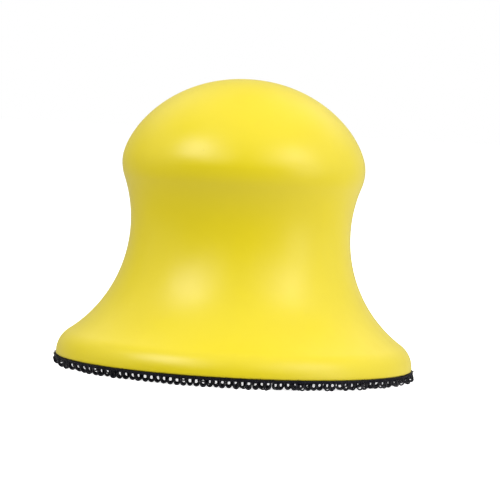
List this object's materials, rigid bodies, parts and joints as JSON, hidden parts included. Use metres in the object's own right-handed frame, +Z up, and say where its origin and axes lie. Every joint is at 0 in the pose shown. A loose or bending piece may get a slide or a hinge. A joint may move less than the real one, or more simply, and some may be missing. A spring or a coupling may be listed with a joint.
{
  "type": "hand sanding pad",
  "caption": "Mushroom-shaped foam hand pad with a domed palm grip, a narrow waist and a flared round base faced with hook tape for loop-backed abrasive discs.",
  "frame": {"origin": "on the grip's axis, in the plane of the hook tips, which is the face that the abrasive disc goes on", "axes": "+Z up the grip's axis to the crown; +Y along the columns of hooks; +X across them; the object is the same all round otherwise"},
  "size_m": [0.073, 0.073, 0.0595],
  "materials": {
    "foam_skin": "satin moulded skin of soft polyurethane foam",
    "adhesive": "dark amber glue line",
    "back_coat": "smooth binder coat, satin",
    "ground_weave": "plain-woven multifilament",
    "hook_monofilament": "drawn monofilament, slightly glossy"
  },
  "bodies": {
    "root": {"foam_grip": "foam_skin", "adhesive_film": "adhesive", "tape_back_coat": "back_coat", "tape_ground": "ground_weave", "hook_yarn_01": "hook_monofilament", "hook_yarn_02": "hook_monofilament", "hook_yarn_03": "hook_monofilament", "hook_yarn_04": "hook_monofilament", "hook_yarn_05": "hook_monofilament", "hook_yarn_06": "hook_monofilament", "hook_yarn_07": "hook_monofilament", "hook_yarn_08": "hook_monofilament", "hook_yarn_09": "hook_monofilament", "hook_yarn_10": "hook_monofilament", "hook_yarn_11": "hook_monofilament", "hook_yarn_12": "hook_monofilament", "hook_yarn_13": "hook_monofilament", "hook_yarn_14": "hook_monofilament", "hook_yarn_15": "hook_monofilament", "hook_yarn_16": "hook_monofilament", "hook_yarn_17": "hook_monofilament", "hook_yarn_18": "hook_monofilament", "hook_yarn_19": "hook_monofilament", "hook_yarn_20": "hook_monofilament", "hook_yarn_21": "hook_monofilament", "hook_yarn_22": "hook_monofilament", "hook_yarn_23": "hook_monofilament", "hook_yarn_24": "hook_monofilament", "hook_yarn_25": "hook_monofilament", "hook_yarn_26": "hook_monofilament", "hook_yarn_27": "hook_monofilament", "hook_yarn_28": "hook_monofilament", "hook_yarn_29": "hook_monofilament"}
  },
  "joints": []
}
